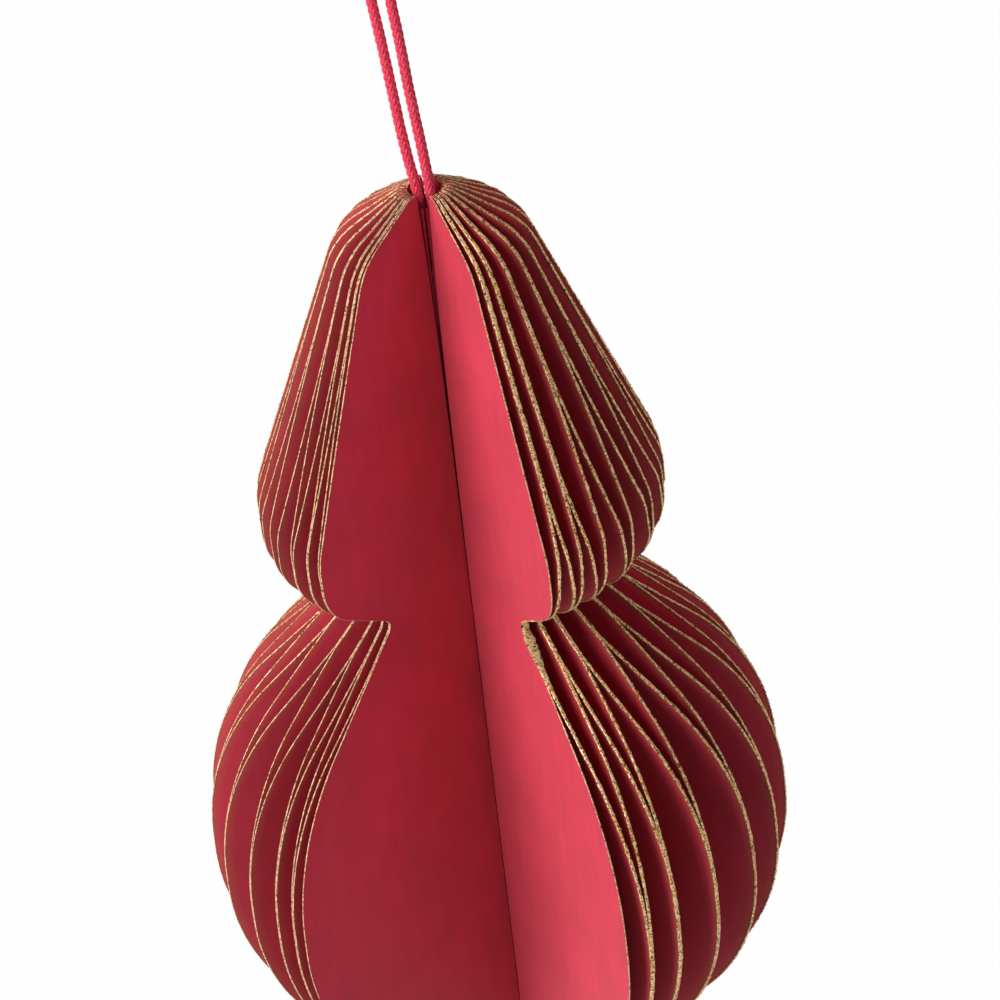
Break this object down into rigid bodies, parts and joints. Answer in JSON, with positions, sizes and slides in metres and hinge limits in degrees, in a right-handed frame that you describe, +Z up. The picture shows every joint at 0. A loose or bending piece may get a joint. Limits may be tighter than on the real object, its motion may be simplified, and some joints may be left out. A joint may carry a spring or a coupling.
{
  "type": "paper finial ornament",
  "caption": "Red card honeycomb finial ornament with two bulbs, gold glitter on its cut edges, hung by a doubled crimson cotton cord",
  "frame": {"origin": "inside of the hanging cord's loop at its top, where a hook carries the ornament", "axes": "+Z up along the body's axis, +X to the viewer's right, -Y out of the front opening towards the viewer"},
  "size_m": [0.0997, 0.0964, 0.245],
  "materials": {
    "red_card": "matt, slightly fibrous coloured card",
    "crimson_cotton": "braided cotton cord and woven binding tape",
    "stained_glue": "craft glue, stained by the red card and set hard"
  },
  "bodies": {
    "root": {"leaf_01": "red_card", "leaf_02": "red_card", "leaf_03": "red_card", "leaf_04": "red_card", "leaf_05": "red_card", "leaf_06": "red_card", "leaf_07": "red_card", "leaf_08": "red_card", "leaf_09": "red_card", "leaf_10": "red_card", "leaf_11": "red_card", "leaf_12": "red_card", "leaf_13": "red_card", "leaf_14": "red_card", "leaf_15": "red_card", "leaf_16": "red_card", "leaf_17": "red_card", "leaf_18": "red_card", "leaf_19": "red_card", "leaf_20": "red_card", "leaf_21": "red_card", "leaf_22": "red_card", "leaf_23": "red_card", "leaf_24": "red_card", "leaf_25": "red_card", "leaf_26": "red_card", "leaf_27": "red_card", "leaf_28": "red_card", "leaf_29": "red_card", "leaf_30": "red_card", "leaf_31": "red_card", "leaf_32": "red_card", "leaf_33": "red_card", "leaf_34": "red_card", "leaf_35": "red_card", "leaf_36": "red_card", "leaf_37": "red_card", "leaf_38": "red_card", "leaf_39": "red_card", "leaf_40": "red_card", "leaf_41": "red_card", "leaf_42": "red_card", "leaf_43": "red_card", "leaf_44": "red_card", "leaf_45": "red_card", "leaf_46": "red_card", "leaf_47": "red_card", "leaf_48": "red_card", "leaf_49": "red_card", "leaf_50": "red_card", "spine_binding": "crimson_cotton", "glue_plug": "stained_glue", "hanging_cord": "crimson_cotton"}
  },
  "joints": []
}
